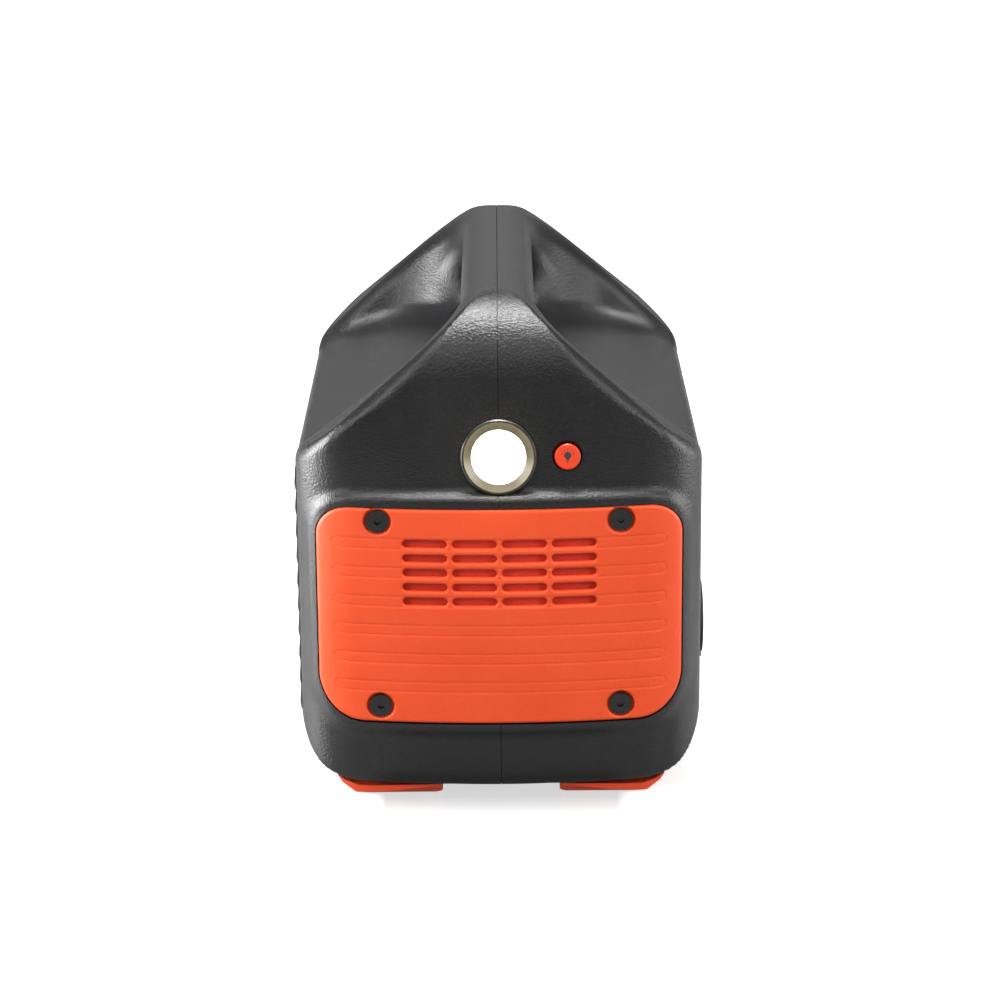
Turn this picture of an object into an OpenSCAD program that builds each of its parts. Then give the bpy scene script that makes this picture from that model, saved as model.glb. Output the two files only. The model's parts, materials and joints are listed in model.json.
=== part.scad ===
// Portable jump starter pack: a two-half moulded case with a carry handle through the top,
// a vented cover on each end, a torch with its button, and a front panel with its sockets.
// Frame: X along the case, -X is the torch end. -Y is the front panel. +Z is up.
// The origin is the centre of the footprint, on the plane that the feet stand on.

/* [Case] */
// Length over the two end covers
case_l = 300; // [290:1:310]
// Width over the two flat sides
case_w = 193; // [188:1:200]
// Height to the top of the handle
case_h = 240; // [236:1:241]
// Height of the shoulder, where the flat sides end
shoulder_z = 165; // [164:0.5:166]
// Wall of the moulded shells
wall = 3; // [2.6:0.1:3.2]
// Gap under the case that the feet fill
foot_h = 4; // [3:0.5:5]

/* [Handle] */
// Width of the handle bar
handle_w = 35.5; // [34:0.5:38]
// Underside of the handle bar
handle_under_z = 214; // [213:0.5:215]
// Floor of the hand space
deck_z = 187; // [184:0.5:188]

/* [Torch] */
// Radius of the torch bezel
torch_r = 17.6; // [17:0.1:18.5]
// Height of the torch axis
torch_z = 170; // [169:0.5:171]
// Radius of the torch button
torch_button_r = 6; // [5.5:0.1:6.3]

/* [Travel] */
// Travel of the torch button
torch_button_travel = 1.2; // [0.8:0.1:1.4]
// Travel of the panel buttons
panel_button_travel = 0.8; // [0.5:0.1:1]

/* [Hidden] */
$fn = 48;
big = 400;
eps = 0.02;

orange = [0.93, 0.33, 0.16];
black = [0.13, 0.13, 0.14];
dark = [0.2, 0.2, 0.21];

// Plan outline: bowed ends, round corners.
bow_r = 400;
corner_r = 34;
plateau = 3.5;              // how far the end covers' frame stands off the end wall
flush = 0.4;                // the frame is this much lower than the cover
// Section outline across the case
roof_a = 40.5;
bottom_r = 35;
shoulder_r = 10;
crown_r = (shoulder_z + case_w / 2 * tan(roof_a) - case_h) / (1 / cos(roof_a) - 1);
// Side outline along the case
hood_a = 12;                // lean of the end walls above the covers
hood_z = 152;               // where the lean starts
end_bottom_r = 15;
end_top_r = 45;
end_x = case_l / 2 - plateau;
// Hand space
scoop_x = 124;
scoop_corner_r = 46;
deck_flat = 44;             // half width of the flat floor
slot_x = 98;                // half length of the gap under the handle

// End covers
cover_y = 86;
cover_z0 = 41;
cover_z1 = 146.6;
cover_top_r = 16;
cover_low_r = 22;
frame_w = 5;                // frame around the cover
screw_y = 56.6;
screw_z = [49.2, 140.3];
groove_pitch = 14.1;
groove_z = 59.1;            // lowest of the six shallow grooves
groove_h = 4.5;
groove_y = 78;
slot_h = 3.8;
slot_w = 20.9;
slot_pitch = 23.2;
vent_z = groove_z + 3 * groove_pitch;   // lowest of the five rows of vents
vent_pitch = groove_pitch / 2;

// Front panel
panel_x = 104;
panel_z0 = 42;
panel_z1 = 148;
panel_r = 12;
front_y = -case_w / 2;
button_z = 124;
button_x = [-82, -50, 50, 82];
button_r = 6.5;
car_x = -82;
car_z = 71;
car_bore_r = 10.6;
jump_x = -8;
jump_z = 66;
charge_x = 33;
ac_x = 76;
port_z = 94;
port_x = [-26, -8, 10];
display_w = 68;
display_h = 32;

// Inside
cell_r = 9.2;
cell_l = 65;
cell_pitch = 19.4;
cell_nx = 7;
cell_ny = 6;
cell_y = 5;                 // centre of the pack
cell_z = 9;                 // lower end of the cells
floor_z = foot_h + wall;
bracket_h = 72;
pack_w = cell_ny * cell_pitch + 2;
board_z = 86;
fan_x = 122;
fan_z = 113;
fan_side = 60;

function arc(c, r, a0, a1, n = 8) =
    [for (i = [0:n]) let (a = a0 + (a1 - a0) * i / n) c + r * [cos(a), sin(a)]];
function flip_x(p) = [for (i = [len(p) - 1:-1:0]) [-p[i][0], p[i][1]]];
function flip_y(p) = [for (i = [len(p) - 1:-1:0]) [p[i][0], -p[i][1]]];
function hood_x(z) = end_x - (z - hood_z) * tan(hood_a);

// Outlines, each drawn e inside the outer surface.
function plan_quarter(l, e) =
    let (bow_x = l - bow_r, cy = case_w / 2 - corner_r,
         cx = bow_x + sqrt(pow(bow_r - corner_r, 2) - cy * cy), t = atan2(cy, cx - bow_x))
    concat(arc([bow_x, 0], bow_r - e, 0, t, 4), arc([cx, cy], corner_r - e, t + 8, 90, 9));
function plan_points(l, e) =
    let (q = plan_quarter(l, e), top = concat(q, flip_x(q))) concat(top, flip_y(top));
function section_half(e) =
    let (b = case_w / 2, sh = [b - shoulder_r, shoulder_z - shoulder_r * tan((90 - roof_a) / 2)])
    concat(arc([b - bottom_r, foot_h + bottom_r], bottom_r - e, -90, 0, 8),
           arc(sh, shoulder_r - e, 0, 90 - roof_a, 4),
           arc([0, case_h - crown_r], crown_r - e, 90 - roof_a, 90, 6));
function section_points(e) = concat(section_half(e), flip_x(section_half(e)));
function side_half(e) =
    let (t = end_top_r, c = [hood_x(case_h - t) - t / cos(hood_a), case_h - t])
    concat([[0, foot_h + e]],
           arc([end_x - end_bottom_r, foot_h + end_bottom_r], end_bottom_r - e, -90, 0, 8),
           [[end_x - e, hood_z - e * tan(hood_a / 2)]],
           arc(c, t - e, hood_a, 90, 8));
function side_points(e) = concat(side_half(e), flip_x(side_half(e)));
function scoop_plan(e) =
    let (c = [scoop_x - scoop_corner_r, handle_w / 2 + scoop_corner_r],
         r = scoop_corner_r + e)
    concat([[-scoop_x - e, case_w], [scoop_x + e, case_w]],
           [for (p = arc(c, r, 0, -90, 8)) p], [for (p = arc([-c[0], c[1]], r, -90, -180, 8)) p]);
function deck_points(e) =
    let (slope = atan2(deck_z - shoulder_z + 1, case_w / 2 - deck_flat))
    [[-1, deck_z - e], [deck_flat - e * tan(slope / 2), deck_z - e],
     [case_w / 2 + 12, deck_z - e / cos(slope) - (case_w / 2 + 12 - deck_flat) * tan(slope)],
     [case_w / 2 + 12, case_h + 20], [-1, case_h + 20]];

module along_x(l) { translate([-l / 2, 0, 0]) rotate([90, 0, 90]) linear_extrude(l) children(); }
module along_y(l) { translate([0, l / 2, 0]) rotate([90, 0, 0]) linear_extrude(l) children(); }
module box(lo, hi) { translate(lo) cube(hi - lo); }
module both_x() { children(); mirror([1, 0, 0]) children(); }
module both_y() { children(); mirror([0, 1, 0]) children(); }

// A rounded slot or a rounded rectangle, drawn from true arcs.
module stadium(w, h) {
    square([w - h, h], center = true);
    for (s = [-1, 1]) translate([s * (w - h) / 2, 0]) circle(h / 2);
}
module round_rect(w, h, r) {
    square([w - 2 * r, h], center = true);
    square([w, h - 2 * r], center = true);
    for (sx = [-1, 1], sy = [-1, 1]) translate([sx * (w / 2 - r), sy * (h / 2 - r)]) circle(r);
}

// The case as a solid, drawn e inside its outer surface.
module scoop(e) {
    intersection() {
        translate([0, 0, shoulder_z - 30]) linear_extrude(120) polygon(scoop_plan(e));
        along_x(case_l) polygon(deck_points(e));
    }
}
module hand_slot(e) {
    r = (handle_under_z - deck_z) / 2;
    along_y(3 * handle_w) translate([0, deck_z + r]) {
        stadium(2 * (slot_x + e), 2 * (r + e));
    }
}
module case_solid(e) {
    difference() {
        intersection() {
            linear_extrude(big) polygon(plan_points(end_x, e));
            along_x(big) polygon(section_points(e));
            along_y(big) polygon(side_points(e));
        }
        both_y() scoop(e);
        hand_slot(e);
    }
}

// Outline of an end cover in Y and Z, grown by g.
function cover_half(g) = concat(
    arc([cover_y - cover_low_r, cover_z0 + cover_low_r], cover_low_r + g, -90, 0, 7),
    arc([cover_y - cover_top_r, cover_z1 - cover_top_r], cover_top_r + g, 0, 90, 6));
module cover_outline(g) { polygon(concat(cover_half(g), flip_x(cover_half(g)))); }
// A bowed layer over both ends, from depth d0 to depth d1 along X.
module end_skin(d0, d1) {
    difference() {
        linear_extrude(big) polygon(plan_points(case_l / 2 - d0, 0));
        translate([0, 0, -1]) linear_extrude(big + 2) polygon(plan_points(case_l / 2 - d1, 0));
        translate([-case_l / 2 + 35, -case_w, -1]) cube([case_l - 70, 2 * case_w, big + 2]);
    }
}
module cover_frame() {
    intersection() {
        end_skin(flush, plateau + 1.5);
        along_x(big) difference() { cover_outline(frame_w); cover_outline(0.5); }
    }
}

// Places children on the leaning wall of the torch end, their Z pointing out of it.
module on_hood(y, z) {
    translate([-hood_x(z), y, z]) rotate([0, hood_a - 90, 0]) children();
}
// Places children on the front panel, their Z pointing out of it.
module on_front(x, z) { translate([x, front_y, z]) rotate([90, 0, 0]) children(); }
// Places children on an end cover, their Z pointing out of the torch end.
module on_end(y, z, depth = 0) {
    bow = bow_r - sqrt(bow_r * bow_r - y * y);
    translate([-case_l / 2 + bow + depth, y, z]) rotate([0, -90, 0]) children();
}
module cover_screw_places() { for (y = [-screw_y, screw_y], z = screw_z) on_end(y, z) children(); }

module shell_bosses() {
    for (x = [-112, 112], z = [24, 140]) translate([x, 0, z]) rotate([90, 0, 0])
        cylinder(r = 4.5, h = case_w - 2 * wall + 1, center = true);
    for (x = [-110, 110], y = [-50, 50]) translate([x, y, foot_h + 1]) cylinder(r = 4.5, h = 10);
    for (y = [-25, 25], z = [-25, 25]) translate([fan_x + 15.02, y, fan_z + z]) rotate([0, 90, 0])
        cylinder(r = 4, h = 8);
    on_hood(-32, torch_z) for (x = [-8, 8]) translate([x, -5.5, -10.98]) cylinder(r = 0.9, h = 9);
}
module shell_body() {
    difference() {
        union() {
            difference() { case_solid(0); case_solid(wall); }
            cover_frame();
            shell_bosses();
        }
        for (s = [-1, 1]) {
            box([s > 0 ? end_x - 8 : -end_x - 8, -50, vent_z - 6],
                [s > 0 ? end_x + 8 : -end_x + 8, 50, vent_z + 5 * vent_pitch]);
        }
        both_x() cover_screw_places() translate([0, 0, -30]) cylinder(r = 1.7, h = 31);
        for (x = [-110, 110], y = [-50, 50]) translate([x, y, -1]) cylinder(r = 1.9, h = 14.5);
        for (y = [-25, 25], z = [-25, 25]) translate([fan_x, y, fan_z + z]) rotate([0, 90, 0])
            cylinder(r = 2.1, h = 20.5);
        on_hood(0, torch_z) translate([0, 0, -20]) cylinder(r = 15.4, h = 40);
        on_hood(-32, torch_z) {
            translate([0, 0, -20]) cylinder(r = torch_button_r + 0.35, h = 40);
            translate([0, 0, -1.4]) cylinder(r1 = torch_button_r + 0.35, r2 = 9, h = 3);
        }
    }
}
module front_shell() {
    color(black) difference() {
        intersection() { shell_body(); box([-big, -big, -1], [big, 0, big]); }
        on_front(0, (panel_z0 + panel_z1) / 2) translate([0, 0, -wall - 2])
            linear_extrude(10) round_rect(2 * panel_x + 0.6, panel_z1 - panel_z0 + 0.6, panel_r);
        for (x = [-112, 112], z = [24, 140]) translate([x, eps, z]) rotate([90, 0, 0])
            cylinder(r = 1.6, h = 60);
    }
}
module rib(z) {
    translate([-100, case_w / 2, z]) rotate([90, 0, 90]) linear_extrude(200)
        polygon([[-0.5, -0.8], [1.0, -0.6], [1.4, 0], [1.1, 1.4], [0, 7], [-0.5, 7]]);
}
module rear_shell() {
    color(black) difference() {
        union() {
            intersection() { shell_body(); box([-big, 0, -1], [big, big, big]); }
            for (i = [0:9]) rib(36.5 + 12.25 * i);
        }
        for (x = [-112, 112], z = [24, 140]) translate([x, 0, z]) rotate([-90, 0, 0]) {
            translate([0, 0, -1]) cylinder(r = 2.1, h = big);
            translate([0, 0, 40]) cylinder(r = 3.6, h = big);
        }
    }
}

module end_cover() {
    difference() {
        intersection() {
            end_skin(0, plateau - 0.02);
            along_x(big) cover_outline(0);
            box([-big, -big, 0], [0, big, big]);
        }
        cover_screw_places() {
            translate([0, 0, -plateau - 5]) cylinder(r = 2.1, h = 12);
            translate([0, 0, -1.9]) cylinder(r = 6, h = 8);
        }
        for (i = [-1.5:1:1.5], j = [0:4])
            translate([-case_l / 2 - 5, i * slot_pitch, vent_z + j * vent_pitch]) rotate([90, 0, 90])
                linear_extrude(20) stadium(slot_w, slot_h);
        for (i = [0:5]) intersection() {
            end_skin(-1, 0.4);
            translate([-case_l / 2 - 5, 0, groove_z + i * groove_pitch]) rotate([90, 0, 90])
                linear_extrude(40) stadium(2 * groove_y, groove_h);
        }
    }
}
// Dust screen behind the vents, in the shell's window.
module vent_screen() {
    difference() {
        intersection() {
            end_skin(plateau + 0.05, plateau + 1.3);
            box([-big, -49.6, vent_z - 5.6], [0, 49.6, vent_z + 5 * vent_pitch - 0.4]);
        }
        for (j = [0:3]) translate([-case_l / 2, -46, vent_z + (j + 0.5) * vent_pitch - 0.7]) cube([20, 92, 1.4]);
    }
}
module left_vent_screen() { color([0.45, 0.08, 0.05]) vent_screen(); }
module right_vent_screen() { color([0.45, 0.08, 0.05]) mirror([1, 0, 0]) vent_screen(); }
module left_end_cover() { color(orange) end_cover(); }
module right_end_cover() { color(orange) mirror([1, 0, 0]) end_cover(); }

module socket_screw(head_r, head_h, shank_r, shank_l, key) {
    difference() {
        union() {
            cylinder(r = head_r, h = head_h);
            translate([0, 0, -shank_l]) cylinder(r = shank_r, h = shank_l + eps);
        }
        translate([0, 0, head_h * 0.3]) cylinder(r = key / sqrt(3), h = head_h, $fn = 6);
    }
}
module cover_screws() {
    cover_screw_places() translate([0, 0, -1.9]) socket_screw(5.4, 1.8, 1.68, 12, 3);
}
module left_cover_screws() { color(dark) cover_screws(); }
module right_cover_screws() { color(dark) mirror([1, 0, 0]) cover_screws(); }

module corner_feet() {
    color(orange) both_x() both_y() difference() {
        intersection() {
            along_x(big) polygon([[28, 13], [28, 3.4], [31, 0], [63, 0], [70, 1.2], [76.5, 5.4],
                [78.5, 8], [78.5, 13]]);
            along_y(big) polygon([[88, 13], [88, 0.6], [89, 0], [133, 0], [138, 2.6], [141, 7], [141, 13]]);
            linear_extrude(20) polygon(plan_points(case_l / 2 - plateau, 5));
        }
        case_solid(0);
        translate([110, 50, -1]) cylinder(r = 5, h = 2.6);
        translate([110, 50, -1]) cylinder(r = 1.9, h = 20);
    }
}
module foot_screws() {
    color(dark) both_x() both_y() translate([110, 50, 1.58]) mirror([0, 0, 1])
        socket_screw(4.4, 1.3, 1.88, 11, 2.5);
}
// Soft pad clipped under the bar, its ends cut to an arc.
module handle_grip() {
    color(dark) intersection() {
        along_y(handle_w - 3) translate([0, handle_under_z - 1.1]) stadium(150, 2.2 - eps);
        translate([0, 0, handle_under_z - 2.2]) linear_extrude(2.2) round_rect(150, handle_w - 3, 12);
    }
}
module shell_screws() {
    color(dark) for (x = [-112, 112], z = [24, 140]) translate([x, 40, z]) rotate([-90, 0, 0])
        socket_screw(3.4, 3, 1.58, 56, 2.5);
}

module torch_bezel() {
    color([0.75, 0.75, 0.77]) on_hood(0, torch_z) rotate_extrude() polygon([
        [14.1, -14], [15.2, -14], [15.2, 0.05], [torch_r, 0.05], [torch_r, 0.7], [17, 1.2],
        [16.3, 1.2], [12.75, -0.7], [12.75, -1.25], [14.1, -1.45]]);
}
module torch_lens() {
    color([0.95, 0.96, 1, 0.5]) on_hood(0, torch_z) rotate_extrude()
        polygon([[0, -3.4], [14.0, -3.4], [14.0, -1.7], [12.6, -1.5], [10, -0.85], [5, -0.45], [0, -0.35]]);
}
module torch_reflector() {
    color([0.85, 0.85, 0.86]) on_hood(0, torch_z) rotate_extrude() polygon([
        [4, -13.9], [14.0, -13.9], [14.0, -3.5], [13.2, -3.5], [10.5, -8.5], [4, -12.9]]);
}
module torch_board() {
    color([0.9, 0.9, 0.85]) on_hood(0, torch_z) union() {
        translate([0, 0, -15.6]) cylinder(r = 15, h = 1.6);
        translate([-2.5, -2.5, -14.1]) cube([5, 5, 1.6]);
    }
}
module torch_switch_board() {
    color([0.1, 0.4, 0.2]) on_hood(-32, torch_z) {
        translate([-9, -7, -12.6]) cube([18, 12.5, 1.6]);
        translate([-3, -3, -11.1]) cube([6, 6, 2.6]);
    }
}
module torch_button() {
    color(orange) on_hood(-32, torch_z) rotate_extrude() polygon([
        [0, -7.2], [7.4, -7.2], [7.4, -5.9], [torch_button_r, -5.9], [torch_button_r, 0.2],
        [torch_button_r - 0.5, 0.7], [0, 0.7]]);
}

// Front panel: a plate in the shell's window with a flange behind it.
module panel_plate() {
    translate([0, 0, -2.6]) linear_extrude(2.4) round_rect(2 * panel_x, panel_z1 - panel_z0, panel_r);
    translate([0, 0, -5.1]) linear_extrude(2) round_rect(2 * panel_x + 8, panel_z1 - panel_z0 + 8, panel_r);
    translate([0, 0, -3.4]) linear_extrude(1) round_rect(2 * panel_x - 1, panel_z1 - panel_z0 - 1, panel_r);
}
module front_panel() {
    color(dark) difference() {
        union() {
            panel_body();
            ac_cover_lugs();
        }
        ac_pin_axis(0.8, 51);
    }
}
module panel_body() {
    difference() {
        on_front(0, (panel_z0 + panel_z1) / 2) panel_plate();
        on_front(0, button_z) translate([0, 0, -10]) linear_extrude(20)
            round_rect(display_w - 4, display_h - 4, 3);
        on_front(0, button_z) translate([0, 0, -1.7]) linear_extrude(5)
            round_rect(display_w + 0.4, display_h + 0.4, 4);
        for (x = button_x) on_front(x, button_z) translate([0, 0, -10]) cylinder(r = button_r + 0.3, h = 20);
        for (x = port_x) on_front(x, port_z) translate([0, 0, -10]) linear_extrude(20)
            square([13.4, 6.2], center = true);
        on_front(car_x, car_z) translate([0, 0, -10]) cylinder(r = 13.05, h = 20);
        on_front(jump_x, jump_z) translate([0, 0, -10]) linear_extrude(20) round_rect(30.6, 18.6, 4);
        on_front(charge_x, jump_z) translate([0, 0, -10]) cylinder(r = 5.6, h = 20);
        on_front(ac_x, car_z) translate([0, 0, -10]) linear_extrude(20) round_rect(40.6, 40.6, 4);
        on_front(ac_x, car_z) translate([0, 0, -1.9]) linear_extrude(5) round_rect(51, 51, 5);
    }
}
module display_window() {
    color([0.05, 0.06, 0.07]) on_front(0, button_z) translate([0, 0, -1.7]) linear_extrude(1.4)
        round_rect(display_w, display_h, 4);
}
module display_module() {
    color([0.3, 0.4, 0.38]) on_front(0, button_z) translate([0, 0, -7.5]) linear_extrude(5.6)
        round_rect(display_w - 5, display_h - 5, 1);
}
module control_board() {
    color([0.1, 0.4, 0.2]) difference() {
        on_front(0, 109) translate([0, 0, -11.1]) linear_extrude(1.6) square([190, 50], center = true);
        on_front(car_x, car_z) translate([0, 0, -20]) cylinder(r = 15, h = 20);
        on_front(ac_x, car_z) translate([0, 0, -20]) linear_extrude(20) square([44, 44], center = true);
        on_front(jump_x, jump_z) translate([0, 0, -20]) linear_extrude(20) square([34, 22], center = true);
    }
}
module panel_switches() {
    color(dark) for (x = button_x) on_front(x, button_z) translate([-3, -3, -9.5]) cube([6, 6, 3]);
}
module panel_button(i) {
    on_front(button_x[i], button_z) rotate_extrude() polygon([
        [0, -5.6], [button_r + 1.2, -5.6], [button_r + 1.2, -5.2], [button_r, -5.2], [button_r, 0.1],
        [button_r - 0.5, 0.5], [0, 0.5]]);
}
module car_button() { color(orange) panel_button(0); }
module usb_button() { color(orange) panel_button(1); }
module display_button() { color(orange) panel_button(2); }
module ac_button() { color(orange) panel_button(3); }

module usb_ports() {
    color([0.75, 0.75, 0.77]) for (x = port_x) on_front(x, port_z) {
        translate([0, 0, -9.4]) linear_extrude(8.4) difference() {
            square([13, 5.8], center = true);
            square([12, 4.8], center = true);
        }
        translate([-6.2, -2.6, -9.4]) cube([12.4, 5.2, 1]);
        translate([-5.5, 0.4, -8.5]) cube([11, 1.4, 6.5]);
    }
}
// 12 V socket: a blind barrel with its own bore, clamped behind the panel by a bezel.
module car_socket() {
    color(dark) on_front(car_x, car_z) rotate_extrude() polygon([
        [0, -46], [13, -46], [13, -0.4], [car_bore_r, -0.4], [car_bore_r, -44], [0, -44]]);
}
module car_socket_bezel() {
    color(dark) on_front(car_x, car_z) rotate_extrude() polygon([
        [13.02, -8], [16, -8], [16, -5.12], [13.02, -5.12]]);
}
module car_socket_contact() {
    color([0.8, 0.65, 0.35]) on_front(car_x, car_z) union() {
        translate([0, 0, -44 + eps]) cylinder(r = 4, h = 2);
        translate([0, 0, -42.1]) cylinder(r = 2.2, h = 3);
    }
}
module jump_socket() {
    color([0.15, 0.35, 0.75]) on_front(jump_x, jump_z) difference() {
        translate([0, 0, -26]) linear_extrude(25) round_rect(30, 18, 4);
        for (s = [-1, 1]) translate([s * 7.5, 0, -18]) cylinder(r = 4.2, h = 20);
    }
}
module charge_jack() {
    color(dark) on_front(charge_x, jump_z) difference() {
        translate([0, 0, -18]) cylinder(r = 5.4, h = 17.4);
        translate([0, 0, -14]) cylinder(r = 4, h = 20);
    }
}
module ac_outlet() {
    color([0.16, 0.16, 0.17]) on_front(ac_x, car_z) difference() {
        translate([0, 0, -24]) linear_extrude(22) round_rect(40, 40, 4);
        for (s = [-1, 1]) translate([s * 6.35, 4, -14]) linear_extrude(20)
            square([1.9, s < 0 ? 8.2 : 6.6], center = true);
        translate([0, -8, -14]) cylinder(r = 2.5, h = 20);
    }
}

// Rubber plug with a low domed face.
module plug_cap(face_r, plug_r, plug_l) {
    rotate_extrude() polygon([
        [0, -1], [plug_r - 1.8, -1], [plug_r - 2.2, -plug_l], [plug_r - 0.9, -plug_l],
        [plug_r, -plug_l / 2], [plug_r, 0.15], [face_r, 0.15], [face_r, 1.7], [face_r - 0.5, 2.15], [face_r - 3, 2.3], [face_r * 0.4, 2.4],
        [0, 2.45]]);
}
module car_socket_cap() {
    color(black) on_front(car_x, car_z) union() {
        plug_cap(18, car_bore_r - 0.4, 7);
        translate([-6, -19.1, 0.15]) cube([12, 3.1, 1.7]);
    }
}
module jump_socket_cap() {
    color(black) on_front(jump_x, jump_z) union() {
        translate([0, 0, 0.15]) linear_extrude(1.8) round_rect(36, 24, 6);
        for (s = [-1, 1]) translate([s * 7.5, 0, -3.5]) cylinder(r = 3.6, h = 3.8);
        translate([-5, -13.4, 0.15]) cube([10, 3, 1.2]);
    }
}
module charge_jack_cap() {
    color(black) on_front(charge_x, jump_z) union() {
        translate([0, 0, 0.15]) cylinder(r = 8, h = 1.6);
        translate([0, 0, -2.5]) cylinder(r = 3.5, h = 2.8);
        translate([-3, -9.4, 0.15]) cube([6, 3, 1.2]);
    }
}
// Hinged cover of the mains outlet, in the panel's square recess.
ac_pin_y = 23.4;
ac_pin_depth = -0.25;
module ac_pin_axis(r, l, x = 0) {
    on_front(ac_x, car_z) translate([x, ac_pin_y, ac_pin_depth]) rotate([0, 90, 0])
        cylinder(r = r, h = l, center = true);
}
module ac_cover_lugs() {
    for (s = [-1, 1]) {
        ac_pin_axis(1.5, 4.4, s * 23.8);
        on_front(ac_x, car_z) translate([s * 23.8 - 2.2, ac_pin_y - 1.5, -2.2]) cube([4.4, 3, 1.9]);
    }
}
module ac_cover() {
    color(black) difference() {
        union() {
            on_front(ac_x, car_z) {
                translate([0, -1.4, -1.1]) linear_extrude(1.7) round_rect(49, 46, 4);
                for (s = [-1, 1]) translate([s * 13 - 7, 20, -1.1]) cube([14, ac_pin_y - 20, 1.7]);
            }
            for (s = [-1, 1]) ac_pin_axis(1.5, 14, s * 13);
        }
        ac_pin_axis(0.84, 60);
    }
}
module ac_cover_pin() { color([0.7, 0.7, 0.72]) ac_pin_axis(0.8, 51); }

// Battery pack of upright cells between two moulded holders.
module cell_places() {
    for (i = [0:cell_nx - 1], j = [0:cell_ny - 1])
        translate([(i - (cell_nx - 1) / 2) * cell_pitch, cell_y + (j - (cell_ny - 1) / 2) * cell_pitch, 0])
            children();
}
module battery_cells() {
    color([0.2, 0.55, 0.45]) cell_places() translate([0, 0, cell_z]) cylinder(r = cell_r, h = cell_l);
}
module cell_holder(z) {
    difference() {
        translate([0, cell_y, z]) linear_extrude(8)
            round_rect(cell_nx * cell_pitch + 2, cell_ny * cell_pitch + 2, 4);
        cell_places() translate([0, 0, z - 1]) cylinder(r = cell_r + 0.1, h = 10);
    }
}
module lower_cell_holder() {
    color(black) union() {
        cell_holder(cell_z);
        for (x = [-65.6, 65.6], y = [-56.1, 56.1]) translate([x, cell_y + y, floor_z])
            cylinder(r = 1, h = cell_z - floor_z + 0.5);
    }
}
module upper_cell_holder() { color(black) cell_holder(cell_z + cell_l - 8); }
module cell_strips() {
    color([0.8, 0.8, 0.78]) for (i = [0:cell_nx - 1], z = [cell_z - 0.3, cell_z + cell_l])
        translate([(i - (cell_nx - 1) / 2) * cell_pitch - 4, cell_y - cell_ny * cell_pitch / 2 + 4, z])
            cube([8, cell_ny * cell_pitch - 8, 0.3]);
}
module battery_board() {
    color([0.1, 0.4, 0.2]) union() {
        translate([-60, cell_y - pack_w / 2 - 1.62, 17]) cube([120, 1.6, 52]);
        for (i = [0:5]) translate([-48 + i * 18, cell_y - pack_w / 2 - 6, 33]) cube([10, 4.5, 9]);
    }
}
module battery_bracket() {
    color([0.7, 0.7, 0.72]) difference() {
        translate([-74, cell_y - 50, floor_z]) cube([148, 100, bracket_h]);
        translate([-72, cell_y - 60, floor_z - 1]) cube([144, 120, bracket_h - 0.6]);
        for (s = [-1, 1]) translate([s * 76 - 10, cell_y - 36, floor_z + 8]) cube([20, 72, 54]);
        for (x = [-34, 0, 34]) translate([x - 12, cell_y - 16, 70]) cube([24, 32, 20]);
    }
}

// Inverter board over the pack, on four posts.
module inverter_board() {
    color([0.1, 0.4, 0.2]) translate([-85, -34, board_z]) cube([170, 105, 1.8]);
}
module inverter_posts() {
    color([0.7, 0.7, 0.72]) for (x = [-60, 60], y = [-22, 52])
        translate([x, y, floor_z + bracket_h])
            cylinder(r = 3.5, h = board_z - floor_z - bracket_h, $fn = 6);
}
module heat_sinks() {
    color([0.75, 0.75, 0.77]) for (y = [-22, 52]) translate([-60, y, board_z + 1.8]) union() {
        cube([120, 3, 36]);
        for (i = [0:8]) translate([i * 14.4, 2.9, 3]) cube([2, 10, 33]);
    }
}
module transformer() {
    color([0.3, 0.25, 0.2]) for (x = [-34, 18]) translate([x, 12, board_z + 1.8]) union() {
        cube([30, 26, 26]);
        translate([-3, 6, 3]) cube([36, 14, 20]);
    }
}
module capacitors() {
    color([0.15, 0.2, 0.4]) for (x = [-72, 72], y = [0, 22, 44]) translate([x, y, board_z + 1.8])
        cylinder(r = 8, h = 30);
}

module fan_frame() {
    color(black) difference() {
        translate([fan_x, -fan_side / 2, fan_z - fan_side / 2]) cube([15, fan_side, fan_side]);
        difference() {
            translate([fan_x - 1, 0, fan_z]) rotate([0, 90, 0]) cylinder(r = 28, h = 20);
            translate([fan_x + 12.6, 0, fan_z]) rotate([0, 90, 0]) cylinder(r = 12, h = 6);
            for (a = [0:90:270]) translate([fan_x + 12.6, 0, fan_z]) rotate([a + 45, 0, 0])
                translate([0, -1.5, 0]) cube([2.4, 3, 29]);
        }
        for (s = [-1, 1], t = [-1, 1]) translate([fan_x - 1, s * 25, fan_z + t * 25]) rotate([0, 90, 0])
            cylinder(r = 2.1, h = 20);
    }
}
module fan_rotor() {
    color([0.22, 0.22, 0.24]) translate([fan_x, 0, fan_z]) rotate([0, 90, 0]) union() {
        translate([0, 0, 1]) cylinder(r = 12, h = 11);
        for (i = [0:8]) rotate([0, 0, i * 40]) translate([11, 0, 6.5]) rotate([34, 0, 0])
            translate([0, -0.6, -6.3]) cube([15.6, 1.2, 11.4]);
    }
}
module fan_screws() {
    color(dark) for (s = [-1, 1], t = [-1, 1]) translate([fan_x, s * 25, fan_z + t * 25])
        rotate([0, 90, 0]) mirror([0, 0, 1]) translate([0, 0, 0]) socket_screw(3.6, 2, 2.08, 19, 2.5);
}

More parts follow.
